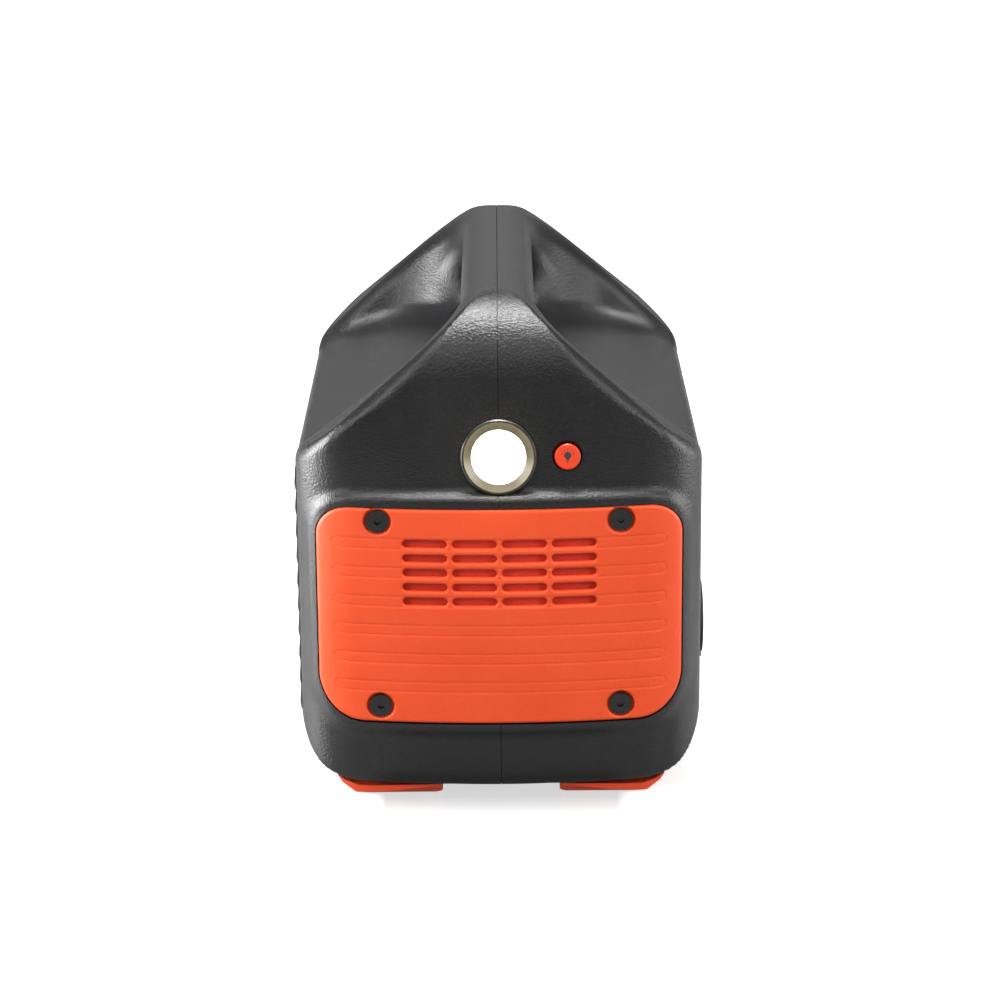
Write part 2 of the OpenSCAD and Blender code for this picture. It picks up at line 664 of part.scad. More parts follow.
// A round lead swept along hand-placed points.
function lead_ring(p, r, i) =
    let (t0 = p[max(i - 1, 0)], t1 = p[min(i + 1, len(p) - 1)], t = (t1 - t0) / norm(t1 - t0),
         u0 = cross([0, 1, 0], t), u = u0 / norm(u0), v = cross(t, u))
    [for (k = [0:7]) p[i] + r * (u * cos(45 * k) + v * sin(45 * k))];
module lead(p, r) {
    n = len(p);
    points = [for (i = [0:n - 1]) each lead_ring(p, r, i)];
    sides = [for (i = [0:n - 2], k = [0:7]) [8 * i + k, 8 * i + (k + 1) % 8, 8 * (i + 1) + (k + 1) % 8, 8 * (i + 1) + k]];
    polyhedron(points, concat(sides, [[for (k = [7:-1:0]) k]], [[for (k = [0:7]) 8 * (n - 1) + k]]));
}
function bend(a, b, c, n = 10) =
    [for (i = [0:n]) let (t = i / n) a * (1 - t) * (1 - t) + 2 * b * t * (1 - t) + c * t * t];
lead_z = board_z + 0.9;
module battery_lead_red() {
    color([0.75, 0.1, 0.1]) lead(concat(bend([-60.1, -55, 50], [-92, -55, 48], [-96, -38, 60]),
        bend([-96.5, -33, 64], [-98, -14, lead_z], [-85.1, -14, lead_z])), 2.6);
}
module battery_lead_black() {
    color(black) lead(concat(bend([-60.1, -55, 34], [-98, -55, 33], [-103, -32, 50]),
        bend([-103.4, -27, 54], [-105, 0, lead_z], [-85.1, -1, lead_z])), 2.6);
}
module fan_lead() {
    color(black) lead(concat(bend([fan_x - 0.1, 10, 85], [110, 10, 85], [106, 16, 86]),
        bend([104.5, 19, 86.3], [99, 32, lead_z], [85.1, 32, lead_z])), 1.3);
}
module torch_lead() {
    color(black) lead(concat(bend([-127.1, 0, 166.6], [-108, 0, 163], [-103, -6, 140]),
        bend([-102.6, -7, 136], [-99, -20, 92], [-85.1, -22, lead_z])), 1.3);
}

front_shell();
rear_shell();
left_end_cover();
right_end_cover();
left_cover_screws();
right_cover_screws();
left_vent_screen();
right_vent_screen();
corner_feet();
foot_screws();
handle_grip();
shell_screws();
torch_bezel();
torch_lens();
torch_reflector();
torch_board();
torch_switch_board();
front_panel();
display_window();
display_module();
control_board();
panel_switches();
usb_ports();
car_socket();
car_socket_bezel();
car_socket_contact();
ac_outlet();
ac_cover_pin();
jump_socket();
charge_jack();
battery_cells();
lower_cell_holder();
upper_cell_holder();
cell_strips();
battery_board();
battery_bracket();
inverter_board();
heat_sinks();
transformer();
capacitors();
inverter_posts();
fan_frame();
fan_screws();
battery_lead_red();
battery_lead_black();
fan_lead();
torch_lead();
torch_button();
car_button();
usb_button();
display_button();
ac_button();
car_socket_cap();
jump_socket_cap();
charge_jack_cap();
ac_cover();
fan_rotor();
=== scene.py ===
import json
import math

import bmesh
import bpy
import numpy as np
from mathutils import Matrix, Vector


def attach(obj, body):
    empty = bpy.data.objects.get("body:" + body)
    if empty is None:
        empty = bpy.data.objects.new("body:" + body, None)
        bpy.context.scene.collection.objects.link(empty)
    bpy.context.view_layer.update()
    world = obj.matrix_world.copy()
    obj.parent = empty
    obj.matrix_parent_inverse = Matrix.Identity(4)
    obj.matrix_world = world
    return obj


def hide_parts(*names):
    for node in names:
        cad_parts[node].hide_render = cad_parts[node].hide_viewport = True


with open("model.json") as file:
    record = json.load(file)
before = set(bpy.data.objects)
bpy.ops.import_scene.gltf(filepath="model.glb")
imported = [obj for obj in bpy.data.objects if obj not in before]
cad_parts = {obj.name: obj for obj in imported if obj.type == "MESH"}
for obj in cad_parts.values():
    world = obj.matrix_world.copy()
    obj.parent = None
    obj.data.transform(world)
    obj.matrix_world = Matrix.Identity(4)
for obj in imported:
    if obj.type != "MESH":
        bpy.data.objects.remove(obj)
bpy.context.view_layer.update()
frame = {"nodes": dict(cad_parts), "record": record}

MM = 0.001
scene = bpy.context.scene

# ---------------------------------------------------------------- camera
# The end view, from in front of the torch end and above it.
CAMERA_AT = Vector((-1.526, -0.0005, 0.571))
PITCH = math.radians(16.95)
ROLL = math.radians(-0.48)
cam_data = bpy.data.cameras.new("camera")
cam_data.sensor_width = 36
cam_data.lens = 112.1
cam = bpy.data.objects.new("camera", cam_data)
scene.collection.objects.link(cam)
look = Vector((math.cos(PITCH), 0, -math.sin(PITCH)))
cam.matrix_world = (Matrix.Translation(CAMERA_AT)
                    @ (look.to_track_quat("-Z", "Y").to_matrix().to_4x4())
                    @ Matrix.Rotation(ROLL, 4, "Z"))
scene.camera = cam

# ---------------------------------------------------------------- sizes in millimetres, as in the CAD
HALF_L, HALF_W, TOP = 150.0, 96.5, 240.0
BOW_R, CORNER_R = 400.0, 34.0
ROOF = math.radians(40.5)
SHOULDER = 165.0
CROWN_R = 23.5
LEAN = math.radians(12)
HOOD_Z = 152.0
FOOT = 4.0
END_X = 146.5
COVER_Y, COVER_Z0, COVER_Z1 = 86.0, 41.0, 146.6
COVER_TOP_R, COVER_LOW_R = 16.0, 22.0
GROOVE_Z, GROOVE_STEP = 59.1, 14.1
HANDLE_W, HANDLE_UNDER, DECK = 35.5, 214.0, 187.0
DECK_FLAT = 44.0
WALL = 2.8
SEAM = 0.16              # each half's skin stops this far short of the centre plane
SLOT_W, SLOT_H, SLOT_PITCH = 20.9, 3.8, 23.2
SLOT_ROWS, SLOT_COLUMNS = 5, 4
GROOVES, GROOVE_W, GROOVE_H = 6, 156.0, 4.9
COVER_T = 3.45
SCREW_Y, SCREW_Z = 56.6, (49.2, 140.3)
TORCH_Z, BUTTON_Y = 170.0, -32.0
VENT_HOLE_Y, VENT_HOLE_Z = 50.0, (95.4, 136.6)
PANEL_W, PANEL_H, PANEL_R, PANEL_Z = 208.6, 106.6, 12.3, 95.0
RIBS, RIB_FIRST_Z, RIB_STEP = 10, 36.7, 12.26


# ---------------------------------------------------------------- distance fields
def rmax(a, b, r):
    """Intersection of two fields with an edge rounded to r."""
    return np.minimum(np.maximum(a, b), -r) + np.hypot(np.maximum(a + r, 0), np.maximum(b + r, 0))


def rmin(a, b, r):
    """Union of two fields with an inside corner filled to r."""
    return -rmax(-a, -b, r)


def plan_x(y, l):
    """Half length of the bowed plan outline at y."""
    cy = HALF_W - CORNER_R
    cx = l - BOW_R + math.sqrt((BOW_R - CORNER_R) ** 2 - cy * cy)
    turn = cy + CORNER_R * cy / (BOW_R - CORNER_R)
    y = np.minimum(np.abs(y), HALF_W - 0.01)
    bow = l - BOW_R + np.sqrt(BOW_R ** 2 - y * y)
    corner = cx + np.sqrt(np.maximum(CORNER_R ** 2 - (y - cy) ** 2, 0))
    return np.where(y > turn, corner, bow)


def plan(x, y, l):
    """Distance from the bowed plan outline, whose half length is l."""
    x, y = np.abs(x), np.abs(y)
    cy = HALF_W - CORNER_R
    bx = l - BOW_R
    cx = bx + math.sqrt((BOW_R - CORNER_R) ** 2 - cy * cy)
    turn = math.atan2(cy, cx - bx)
    angle = np.arctan2(y - cy, x - cx)
    in_corner = (angle > turn) & (angle < math.pi / 2) & (x > cx)
    return np.where(in_corner, np.hypot(x - cx, y - cy) - CORNER_R,
                    np.maximum(y - HALF_W, np.hypot(x - bx, y) - BOW_R))


def outline(y, z):
    """Rounded outline of an end cover, measured in Y and Z."""
    y = np.abs(y)
    mid = (COVER_Z0 + COVER_Z1) / 2
    r = np.where(z > mid, COVER_TOP_R, COVER_LOW_R)
    a = y - COVER_Y + r
    b = np.abs(z - mid) - (COVER_Z1 - COVER_Z0) / 2 + r
    return np.hypot(np.maximum(a, 0), np.maximum(b, 0)) + np.minimum(np.maximum(a, b), 0) - r


def roof(y, z):
    """The two slopes of the roof and the round crown between them."""
    y = np.abs(y)
    zc = TOP - CROWN_R
    flat = y * math.sin(ROOF) + (z - SHOULDER) * math.cos(ROOF) - HALF_W * math.sin(ROOF)
    return np.where(np.arctan2(y, z - zc) < ROOF, np.hypot(y, z - zc) - CROWN_R, flat)


def ends(x, z):
    """The leaning hood, bent into the top of the handle."""
    x = np.abs(x)
    r = 45.0
    crown_drop = 0.6
    lean = (x - END_X) * math.cos(LEAN) + (z - HOOD_Z) * math.sin(LEAN)
    cz = TOP - r
    cx = END_X - (cz - HOOD_Z) * math.tan(LEAN) - r / math.cos(LEAN)
    bend = np.hypot(x - cx, z - cz) - r
    angle = np.arctan2(z - cz, x - cx)
    return np.where((angle > LEAN) & (angle < math.pi / 2), bend,
                    np.where(x > cx, lean, z - TOP - crown_drop * np.maximum(cx - x, 0)))


def scoop(x, y, z):
    """One hollow beside the handle: a sloping deck with a round-cornered rim."""
    x, y = np.abs(x), np.abs(y)
    slope = math.atan2(DECK - SHOULDER + 1.5, HALF_W - DECK_FLAT)
    deck_bend = 30.0
    deck = -rmax((z - DECK), (z - DECK) * math.cos(slope) + (y - DECK_FLAT) * math.sin(slope), deck_bend)
    half_length, flare, steepness = 113.0, 0.45, 0.81
    reach = half_length + flare * np.clip(z - DECK, -20, 40)
    wall_x = (x - reach) * steepness
    wall_y = HANDLE_W / 2 - y
    r = 44.0
    a, b = wall_x + r, wall_y + r
    wall = np.hypot(np.maximum(a, 0), np.maximum(b, 0)) + np.minimum(np.maximum(a, b), 0) - r
    return rmax(deck, wall, 10.0)


def hand_slot(x, z):
    """The finger gap: a stadium between the deck and the handle bar."""
    half_length = 98
    r = (HANDLE_UNDER - DECK) / 2
    a = np.abs(x) - half_length + r
    b = np.abs(z - DECK - r)
    return np.hypot(np.maximum(a, 0), b) - r


def body(x, y, z):
    """The case without its frames: walls, roof, both hoods, the hollows and the finger gap."""
    y = np.abs(y)
    side = plan(x, y, END_X)
    side_turn_under, end_turn_under = 35.0, 12.0
    eave_round, scoop_round, slot_round = 4.0, 5.0, 8.0
    hood_round = np.interp(z, [150, 175, 206, 230], [9.0, 6.0, 6.0, 0.8])
    low = rmax(y - HALF_W, FOOT - z, side_turn_under)
    f = rmax(side, roof(y, z), eave_round)
    f = np.maximum(f, low)
    f = rmax(f, FOOT - z, end_turn_under)
    f = rmax(f, ends(x, z), hood_round)
    f = rmax(f, -scoop(x, y, z), scoop_round)
    return rmax(f, -hand_slot(x, z), slot_round)


def case(x, y, z):
    """The outside of the case, with the raised frame round each end cover."""
    f = body(x, y, z)
    front = plan(x, y, HALF_L - 0.4)
    upper = z > 92
    spread = np.where(upper, 0.7, 1.3)
    rim = np.where(upper, 4.4, 3.6)
    pad_round, pad_depth, fillet = 1.2, 7.0, 2.0
    skirt = (outline(y, z) - rim + spread * front) / np.hypot(1, spread)
    frame_pad = rmax(front, skirt, pad_round)
    frame_pad = np.maximum(frame_pad, -front - pad_depth)
    return rmin(f, frame_pad, fillet)


# ---------------------------------------------------------------- meshing
def lines(*stops):
    """Grid lines from (start, end, step) runs."""
    out = []
    for lo, hi, step in stops:
        n = max(1, round((hi - lo) / step))
        out.extend(lo + (hi - lo) * i / n for i in range(n))
    return np.array(out + [stops[-1][1]])


def surface(field, xs, ys, zs, rounds=4):
    """Surface nets on an uneven grid; each corner is then moved onto the surface itself."""
    gx, gy, gz = np.meshgrid(xs, ys, zs, indexing="ij")
    f = field(gx, gy, gz)
    inside = f < 0
    nx, ny, nz = (n - 1 for n in f.shape)
    corner = [(i, j, k) for i in (0, 1) for j in (0, 1) for k in (0, 1)]
    part = [inside[i:nx + i, j:ny + j, k:nz + k] for i, j, k in corner]
    count = sum(p.astype(np.int8) for p in part)
    cell = np.argwhere((count > 0) & (count < 8))
    index = np.full((nx, ny, nz), -1, np.int64)
    index[tuple(cell.T)] = np.arange(len(cell))
    total, hits = np.zeros((len(cell), 3)), np.zeros(len(cell))
    axes = (xs, ys, zs)
    for a in corner:
        for axis in range(3):
            if a[axis]:
                continue
            b = list(a)
            b[axis] = 1
            ia, ib = cell + a, cell + b
            fa, fb = f[tuple(ia.T)], f[tuple(ib.T)]
            cross = (fa < 0) != (fb < 0)
            t = np.where(cross, fa / np.where(fa == fb, 1, fa - fb), 0)
            pa = np.stack([axes[n][ia[:, n]] for n in range(3)], 1)
            pb = np.stack([axes[n][ib[:, n]] for n in range(3)], 1)
            total += np.where(cross[:, None], pa + (pb - pa) * t[:, None], 0)
            hits += cross
    p = total / hits[:, None]
    for _ in range(rounds):
        v, g = slope_of(field, p)
        step = (v / np.maximum((g * g).sum(1), 0.3))[:, None] * g
        size = np.linalg.norm(step, axis=1, keepdims=True)
        p = p - step * np.minimum(1, 0.8 / np.maximum(size, 1e-9))
    faces = []
    for axis in range(3):
        u, w = (axis + 1) % 3, (axis + 2) % 3
        lo = [slice(1, -1)] * 3
        hi = list(lo)
        lo[axis], hi[axis] = slice(0, -1), slice(1, None)
        fa, fb = inside[tuple(lo)], inside[tuple(hi)]
        at = np.argwhere(fa != fb)
        out = fa[tuple(at.T)]
        off = np.ones(3, int)
        off[axis] = 0
        base = at + off
        du, dw = np.zeros(3, int), np.zeros(3, int)
        du[u], dw[w] = 1, 1
        quad = np.stack([index[tuple((base - s).T)] for s in (du * 0, du, du + dw, dw)], 1)
        quad[~out] = quad[~out][:, ::-1]
        faces.append(quad)
    return p, np.concatenate(faces)


def slope_of(field, p, h=0.02):
    """Value and gradient of a field at the points p."""
    v = field(p[:, 0], p[:, 1], p[:, 2])
    g = np.stack([(field(*(p + np.eye(3)[n] * h).T) - v) / h for n in range(3)], 1)
    return v, g


def new_mesh(name, verts, faces, smooth=True):
    """A new object in the scene from points in metres."""
    mesh = bpy.data.meshes.new(name)
    mesh.from_pydata([tuple(v) for v in verts], [], [tuple(int(i) for i in q) for q in faces])
    mesh.validate()
    mesh.update()
    if smooth:
        mesh.shade_smooth()
    obj = bpy.data.objects.new(name, mesh)
    scene.collection.objects.link(obj)
    return obj


def face_out(obj):
    """Turns every face of a closed mesh outwards."""
    bm = bmesh.new()
    bm.from_mesh(obj.data)
    bmesh.ops.recalc_face_normals(bm, faces=bm.faces[:])
    bm.to_mesh(obj.data)
    bm.free()


def half_shell():
    """Closed shell of the half at -Y, in millimetres: the skin, an inner skin and the rim between them.

    The rim has a shallow V-groove, lip_depth under the skin, which draws the seam.
    """
    lip_depth = 0.7
    xs = lines((-153, -88, 1.5), (-88, -60, 4), (-60, 60, 10), (60, 88, 4), (88, 153, 1.5))
    ys = lines((-99, -72, 1.5), (-72, -34, 2.4), (-34, 1.5, 1.5))
    zs = lines((1.5, 40, 1.7), (40, 142, 3.4), (142, 243, 1.5))
    p, q = surface(case, xs, ys, zs)
    bm = bmesh.new()
    vs = [bm.verts.new(v) for v in p]
    for f in q:
        try:
            bm.faces.new([vs[i] for i in f])
        except ValueError:  # the same face a second time
            pass
    bmesh.ops.bisect_plane(bm, geom=bm.verts[:] + bm.edges[:] + bm.faces[:], dist=1e-5,
                           plane_co=(0, -SEAM, 0), plane_no=(0, 1, 0), clear_outer=True)
    bmesh.ops.recalc_face_normals(bm, faces=bm.faces[:])
    bm.verts.index_update()
    outer = np.array([v.co for v in bm.verts])
    rim = np.abs(outer[:, 1] + SEAM) < 1e-3
    inner = outer.copy()
    for _ in range(10):
        v, g = slope_of(lambda x, y, z: body(x, y, z) + WALL, inner)
        g[rim, 1] = 0
        step = (v / np.maximum((g * g).sum(1), 0.2))[:, None] * g
        size = np.linalg.norm(step, axis=1, keepdims=True)
        inner -= step * np.minimum(1, 1.2 / np.maximum(size, 1e-9))
    inner[rim, 1] = 0.0
    lip = outer[rim]
    for _ in range(6):
        v, g = slope_of(lambda x, y, z: case(x, y, z) + lip_depth, lip)
        g[:, 1] = 0
        lip -= (v / np.maximum((g * g).sum(1), 0.3))[:, None] * g
    lip[:, 1] = 0.0
    count = len(outer)
    lip_index = np.full(count, -1)
    lip_index[rim] = 2 * count + np.arange(len(lip))
    faces = [[v.index for v in f.verts] for f in bm.faces]
    edges = [e for e in bm.edges if e.is_boundary]
    all_faces = list(faces) + [[i + count for i in reversed(f)] for f in faces]
    for e in edges:
        loop = e.link_loops[0]
        a, b = loop.vert.index, loop.link_loop_next.vert.index
        la, lb = int(lip_index[a]), int(lip_index[b])
        all_faces.append([b, a, la, lb])
        all_faces.append([lb, la, a + count, b + count])
    bm.free()
    return np.concatenate([outer, inner, lip]), all_faces


def cutter(parts, name):
    """Joins closed meshes, each (verts, faces) in millimetres, into one cutting object."""
    verts, faces = [], []
    for v, f in parts:
        faces.extend([[i + len(verts) for i in q] for q in f])
        verts.extend(list(map(tuple, v)))
    obj = new_mesh(name, np.array(verts) * MM, faces, False)
    face_out(obj)
    return obj


def prism(points, place, lo, hi):
    """A closed prism of a 2-D outline; place(u, v, w) puts it in space, from w = lo to w = hi."""
    n = len(points)
    v = [place(a, b, lo) for a, b in points] + [place(a, b, hi) for a, b in points]
    f = [list(range(n - 1, -1, -1)), list(range(n, 2 * n))]
    f += [[i, (i + 1) % n, n + (i + 1) % n, n + i] for i in range(n)]
    return np.array(v, float), f


def rings(profile, place, n=64):
    """A closed lathe of (radius, height) pairs, its first and last radius closed by a face."""
    v, f = [], []
    turns = [2 * math.pi * i / n for i in range(n)]
    for r, h in profile:
        v += [place(r * math.cos(a), r * math.sin(a), h) for a in turns]
    for k in range(len(profile) - 1):
        low, high = k * n, (k + 1) * n
        f += [[low + i, low + (i + 1) % n, high + (i + 1) % n, high + i] for i in range(n)]
    f += [list(range(n - 1, -1, -1)), [(len(profile) - 1) * n + i for i in range(n)]]
    return np.array(v, float), f


def round_rect(w, h, r, n=10):
    """Outline of a rectangle with round corners, n steps to a corner."""
    pts = []
    for cx, cy, a0 in ((w / 2 - r, h / 2 - r, 0), (-w / 2 + r, h / 2 - r, 90),
                       (-w / 2 + r, -h / 2 + r, 180), (w / 2 - r, -h / 2 + r, 270)):
        for i in range(n + 1):
            a = math.radians(a0 + 90 * i / n)
            pts.append((cx + r * math.cos(a), cy + r * math.sin(a)))
    return pts


def cut(obj, tool):
    """Cuts tool out of obj for good, and removes tool."""
    mod = obj.modifiers.new("cut", "BOOLEAN")
    mod.operation, mod.solver, mod.object = "DIFFERENCE", "EXACT", tool
    with bpy.context.temp_override(object=obj, active_object=obj, selected_objects=[obj]):
        bpy.ops.object.modifier_apply(modifier=mod.name)
    bpy.data.objects.remove(tool, do_unlink=True)


def hood_point(y, z):
    """Maps (u, v, w) to the leaning wall of the torch end: u upwards, v along Y, w out of the wall."""
    ox = -(END_X - (z - HOOD_Z) * math.tan(LEAN))
    up = (math.sin(LEAN), 0, math.cos(LEAN))
    out = (-math.cos(LEAN), 0, math.sin(LEAN))
    return lambda u, v, w: (ox + up[0] * u + out[0] * w, y + v, z + up[2] * u + out[2] * w)


def front_point(x, z):
    """Maps (u, v, w) to the control side: u along X, v upwards, w out of the wall."""
    return lambda u, v, w: (x + u, -HALF_W - w, z + v)


def recess(sign, gap=0.55):
    """Cutter for the pocket that an end cover sits in, bowed like the end."""
    ys = sorted(set(np.round(np.concatenate([
        np.linspace(-COVER_Y - gap, COVER_Y + gap, 91),
        [s * (COVER_Y + gap - t) for s in (-1, 1) for t in (0.05, 0.15, 0.3, 0.6, 1.0, 1.5)]]), 4)))
    v, f = [], []
    for y in ys:
        a = abs(y)
        top_a = max(0.0, a - (COVER_Y - COVER_TOP_R))
        low_a = max(0.0, a - (COVER_Y - COVER_LOW_R))
        top = COVER_Z1 - COVER_TOP_R + math.sqrt(max((COVER_TOP_R + gap) ** 2 - top_a ** 2, 0))
        low = COVER_Z0 + COVER_LOW_R - math.sqrt(max((COVER_LOW_R + gap) ** 2 - low_a ** 2, 0))
        deep = float(plan_x(y, END_X)) - 0.02
        v += [(sign * 162, y, low), (sign * 162, y, top), (sign * deep, y, top), (sign * deep, y, low)]
    n = len(ys)
    for i in range(n - 1):
        for k in range(4):
            f.append([4 * i + k, 4 * i + (k + 1) % 4, 4 * i + 4 + (k + 1) % 4, 4 * i + 4 + k])
    f += [[3, 2, 1, 0], [4 * n - 4, 4 * n - 3, 4 * n - 2, 4 * n - 1]]
    return np.array(v), f


def box_mesh(lo, hi):
    """A closed box between two corners."""
    x0, y0, z0 = lo
    x1, y1, z1 = hi
    v = [(x, y, z) for z in (z0, z1) for x, y in ((x0, y0), (x1, y0), (x1, y1), (x0, y1))]
    f = [[0, 3, 2, 1], [4, 5, 6, 7], [0, 1, 5, 4], [1, 2, 6, 5], [2, 3, 7, 6], [3, 0, 4, 7]]
    return np.array(v, float), f


shell_verts, shell_faces = half_shell()
front = new_mesh("case_front", shell_verts * MM, shell_faces)
rear = new_mesh("case_rear", shell_verts * [MM, -MM, MM], [list(reversed(f)) for f in shell_faces])

torch_cut = rings([(15.6, -20), (15.6, -0.9), (17.9, -0.55), (17.9, 12)], hood_point(0, TORCH_Z), 96)
button_cut = rings([(6.35, -20), (6.35, -2.2), (6.5, -1.8), (8.0, 0.15), (8.35, 1.2), (8.35, 9)],
                   hood_point(BUTTON_Y, TORCH_Z), 96)
window = prism(round_rect(PANEL_W, PANEL_H, PANEL_R, 12), front_point(0, PANEL_Z), -5, 6)
vent_holes = [box_mesh((x0, -VENT_HOLE_Y, VENT_HOLE_Z[0]), (x1, VENT_HOLE_Y, VENT_HOLE_Z[1]))
              for x0, x1 in ((-155, -137), (137, 155))]
for half, extra in ((front, [torch_cut, button_cut, window]), (rear, [torch_cut])):
    cut(half, cutter([recess(-1), recess(1)] + extra, "cut_recess"))
    cut(half, cutter(vent_holes, "cut_vents"))
for half in (front, rear):
    half.data.shade_smooth()
    half.data.set_sharp_from_angle(angle=math.radians(35))
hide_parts("front_shell")
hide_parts("rear_shell")
for half in (front, rear):
    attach(half, "case")


# ---------------------------------------------------------------- end covers
def stadium(y, z, w, h):
    """Distance from a slot with round ends, w wide and h high."""
    return np.hypot(np.maximum(np.abs(y) - (w - h) / 2, 0), z) - h / 2


def cover_field(x, y, z):
    """The cover with its bow taken out: x runs from 0 at the outside to COVER_T at the back."""
    far = 9.0
    f = rmax(-x, outline(y, z), 1.5)
    band = np.full_like(z, far)
    for i in range(GROOVES):
        band = np.minimum(band, stadium(y, z - GROOVE_Z - GROOVE_STEP * i, GROOVE_W, GROOVE_H))
    floor_depth, edge_depth, edge_w = 0.05, 0.22, 0.75
    ring = np.clip(1 - np.abs(band) / edge_w, 0, 1)
    f = f + (floor_depth * (band < 0) + edge_depth * ring) * (x < 2)
    f = rmax(f, x - COVER_T, 0.4)
    slot = np.full_like(z, far)
    for j in range(SLOT_ROWS):
        for i in range(SLOT_COLUMNS):
            at = z - GROOVE_Z - GROOVE_STEP * (3 + j / 2)
            across = y - (i - (SLOT_COLUMNS - 1) / 2) * SLOT_PITCH
            slot = np.minimum(slot, stadium(across, at, SLOT_W, SLOT_H))
    f = rmax(f, -slot, 1.1)
    recess_r, recess_taper, recess_depth, bore_r = 6.7, 0.35, 2.0, 2.2
    for y0 in (-SCREW_Y, SCREW_Y):
        for z0 in SCREW_Z:
            r = np.hypot(y - y0, z - z0)
            f = rmax(f, -np.maximum(r - recess_r + recess_taper * x, x - recess_depth), 0.35)
            f = np.maximum(f, bore_r - r)
    return f


def end_cover():
    """One end cover in millimetres, meshed finest at its grooves and vents and then bowed."""
    ys = lines((-88, -82, 1.1), (-82, -71, 0.55), (-71, -47, 1.0), (-47, 47, 0.62), (47, 71, 1.0),
               (71, 82, 0.55), (82, 88, 1.1))
    middles = [GROOVE_Z + GROOVE_STEP * i for i in range(3)]
    groove = [z for middle in middles for z in (middle - 3.6, middle + 3.6)]
    zs = lines((39, groove[0], 1.1), (groove[0], groove[1], 0.45), (groove[1], groove[2], 1.2),
               (groove[2], groove[3], 0.45), (groove[3], groove[4], 1.2), (groove[4], groove[5], 0.45),
               (groove[5], 96.5, 1.2), (96.5, 134, 0.5), (134, 148.6, 0.9))
    xs = lines((-0.9, 2.5, 0.5), (2.5, 4.3, 0.6))
    p, q = surface(cover_field, xs, ys, zs)
    p = p.copy()
    p[:, 0] = p[:, 0] - plan_x(p[:, 1], HALF_L)
    return p, q


cover_verts, cover_faces = end_cover()
left_cover = new_mesh("cover_left", cover_verts * MM, cover_faces)
right_cover = new_mesh("cover_right", cover_verts * [-MM, MM, MM], [list(reversed(f)) for f in cover_faces])
for cover, cad_name in ((left_cover, "left_end_cover"), (right_cover, "right_end_cover")):
    face_out(cover)
    cover.data.shade_smooth()
    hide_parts(cad_name)
    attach(cover, "case")


# ---------------------------------------------------------------- ribs on the rear half
def ribs():
    """Ribs one above the other, each with its tip at the lower edge and both ends faded into the wall."""
    verts, faces = [], []
    section = [(-0.6, -1.6), (0.25, -1.2), (0.85, -0.75), (1.15, -0.25), (1.2, 0.35), (1.05, 2.0),
               (0.7, 5.0), (0.35, 8.0), (0.05, 10.2), (-0.6, 10.9)]
    stations = [(-112, 0.0), (-110, 0.35), (-107, 0.75), (-103, 0.95), (-98, 1.0), (98, 1.0), (103, 0.95),
                (107, 0.75), (110, 0.35), (112, 0.0)]
    for i in range(RIBS):
        z = RIB_FIRST_Z + RIB_STEP * i
        start = len(verts)
        for x, k in stations:
            verts += [(x, HALF_W + (a * k if a > 0 else a), z + b) for a, b in section]
        m = len(section)
        for s in range(len(stations) - 1):
            for j in range(m):
                a, b = start + s * m + j, start + s * m + (j + 1) % m
                faces.append([a, b, b + m, a + m])
        faces.append([start + j for j in range(m - 1, -1, -1)])
        faces.append([start + (len(stations) - 1) * m + j for j in range(m)])
    obj = new_mesh("case_rear_ribs", np.array(verts) * MM, faces)
    face_out(obj)
    obj.data.shade_smooth()
    obj.data.set_sharp_from_angle(angle=math.radians(50))
    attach(obj, "case")
    return obj


rib_piece = ribs()


# ---------------------------------------------------------------- materials
def material(name, base, rough, metal=0.0, **sockets):
    """A new material; returns it with its node tree and its Principled shader."""
    m = bpy.data.materials.new(name)
    m.use_nodes = True
    tree = m.node_tree
    tree.nodes.clear()
    out = tree.nodes.new("ShaderNodeOutputMaterial")
    shader = tree.nodes.new("ShaderNodeBsdfPrincipled")
    tree.links.new(shader.outputs[0], out.inputs[0])
    shader.inputs["Base Color"].default_value = (*base, 1)
    shader.inputs["Roughness"].default_value = rough
    shader.inputs["Metallic"].default_value = metal
    for key, value in sockets.items():
        shader.inputs[key.replace("_", " ")].default_value = value
    return m, tree, shader


def node(tree, kind, links=(), **values):
    """Adds a node, sets its sockets or settings by name, and links its inputs."""
    n = tree.nodes.new(kind)
    for key, value in values.items():
        if key in n.inputs.keys():
            n.inputs[key].default_value = value
        elif key.replace("_", " ") in n.inputs.keys():
            n.inputs[key.replace("_", " ")].default_value = value
        else:
            setattr(n, key, value)
    for source, socket in links:
        tree.links.new(source, n.inputs[socket])
    return n


def ramp(tree, source, stops):
    """Adds a colour ramp with (position, colour) stops."""
    n = tree.nodes.new("ShaderNodeValToRGB")
    tree.links.new(source, n.inputs[0])
    els = n.color_ramp.elements
    while len(els) < len(stops):
        els.new(0.5)
    for e, (pos, col) in zip(els, stops):
        e.position = pos
        e.color = (*col, 1) if len(col) == 3 else col
    return n


def map_range(tree, source, start, end):
    """Maps a value from the range start to the range end."""
    n = node(tree, "ShaderNodeMapRange", [(source, "Value")])
    n.inputs["From Min"].default_value, n.inputs["From Max"].default_value = start
    n.inputs["To Min"].default_value, n.inputs["To Max"].default_value = end
    return n


